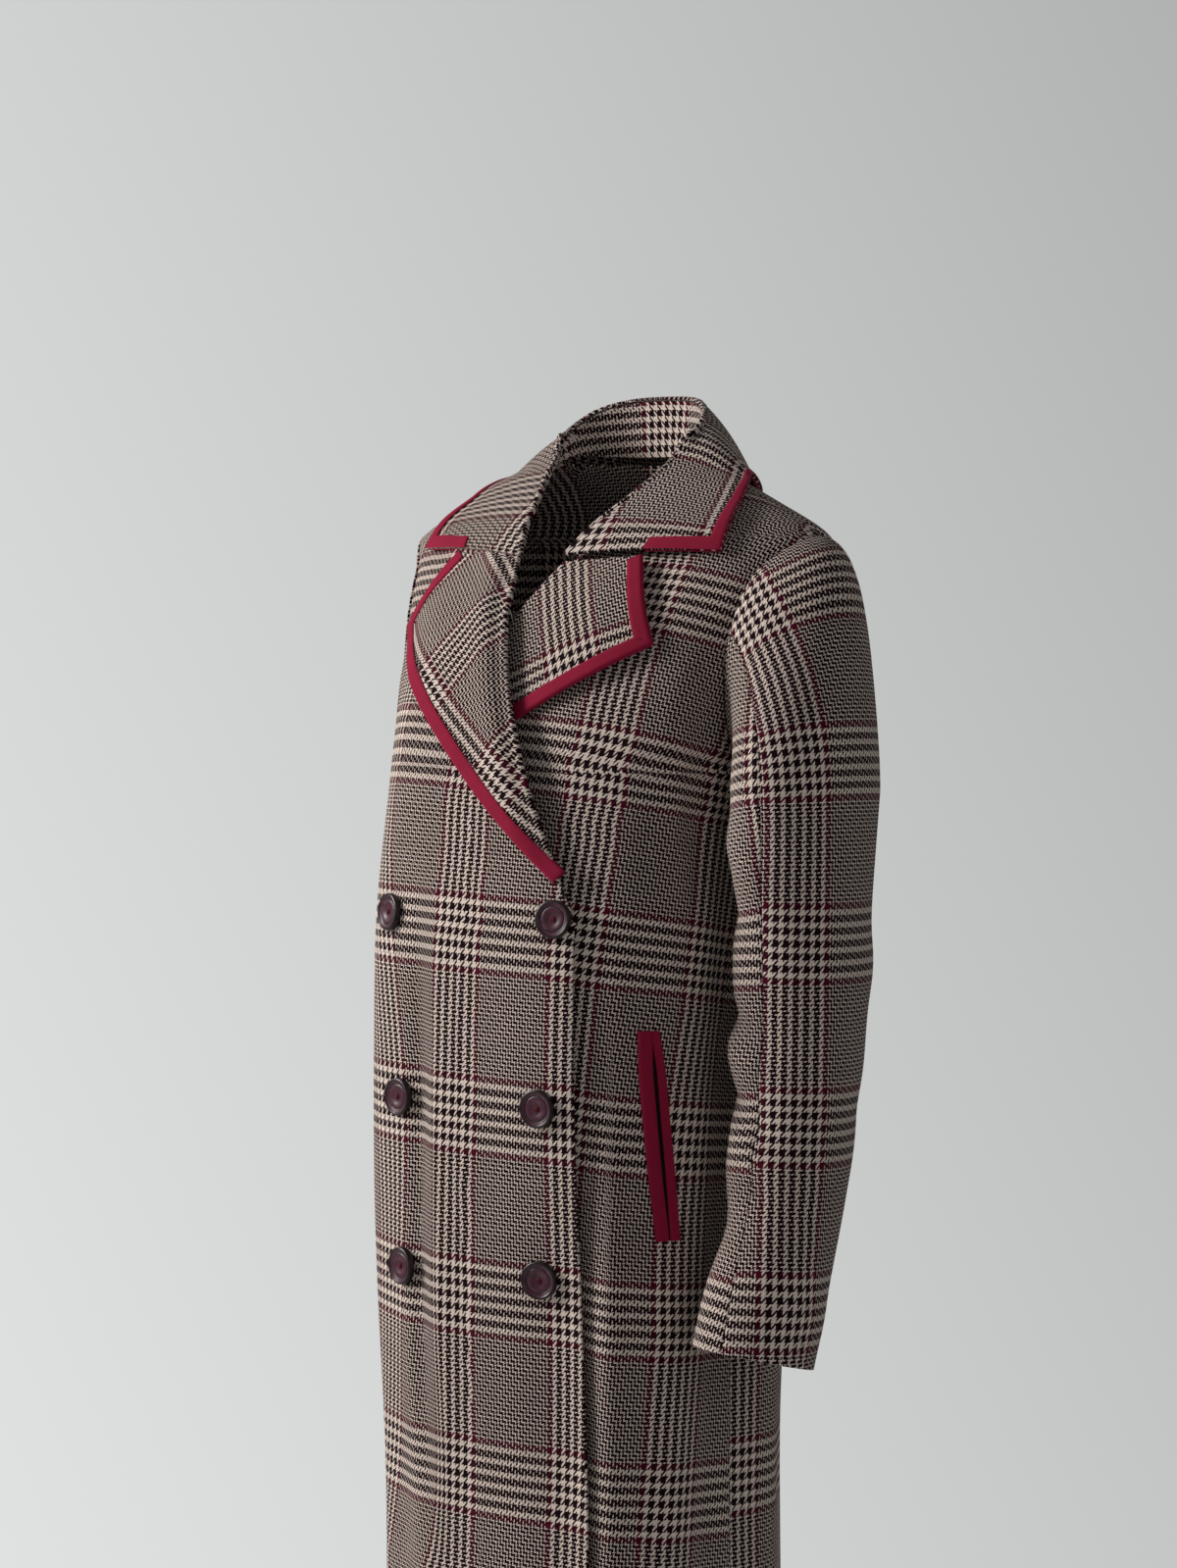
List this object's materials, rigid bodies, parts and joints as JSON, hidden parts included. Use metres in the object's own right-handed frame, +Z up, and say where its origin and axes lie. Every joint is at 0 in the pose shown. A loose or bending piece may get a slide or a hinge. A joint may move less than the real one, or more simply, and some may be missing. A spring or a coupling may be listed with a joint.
{
  "type": "double-breasted coat",
  "caption": "Long double-breasted wool coat in worn shape, open and hollow, with notched lapels, a turned-down collar, slanted welt pockets and set-in sleeves.",
  "frame": {"origin": "at the neck, midway between the two points where the shoulder seams meet the collar, where the wearer carries the coat", "axes": "+Z up, the wearer faces -Y, the wearer's left side is +X"},
  "size_m": [0.4818, 0.289, 1.1069],
  "materials": {
    "checked_wool": "woven wool with a soft nap, cream and near-black check with burgundy lines",
    "crimson_felt": "dense matt wool felt",
    "plum_button": "polished, marbled like horn"
  },
  "bodies": {
    "root": {"front_left": "checked_wool", "front_right": "checked_wool", "back_left": "checked_wool", "back_right": "checked_wool", "sleeve_upper_left": "checked_wool", "sleeve_under_left": "checked_wool", "sleeve_upper_right": "checked_wool", "sleeve_under_right": "checked_wool", "lapel_left": "checked_wool", "lapel_right": "checked_wool", "collar_fall": "checked_wool", "collar_stand": "checked_wool", "binding_lapel_left": "crimson_felt", "binding_lapel_right": "crimson_felt", "binding_collar": "crimson_felt", "welt_forward_left": "crimson_felt", "welt_rear_left": "crimson_felt", "welt_forward_right": "crimson_felt", "welt_rear_right": "crimson_felt", "button_left_1": "plum_button", "button_left_2": "plum_button", "button_left_3": "plum_button", "button_right_1": "plum_button", "button_right_2": "plum_button", "button_right_3": "plum_button"}
  },
  "joints": []
}
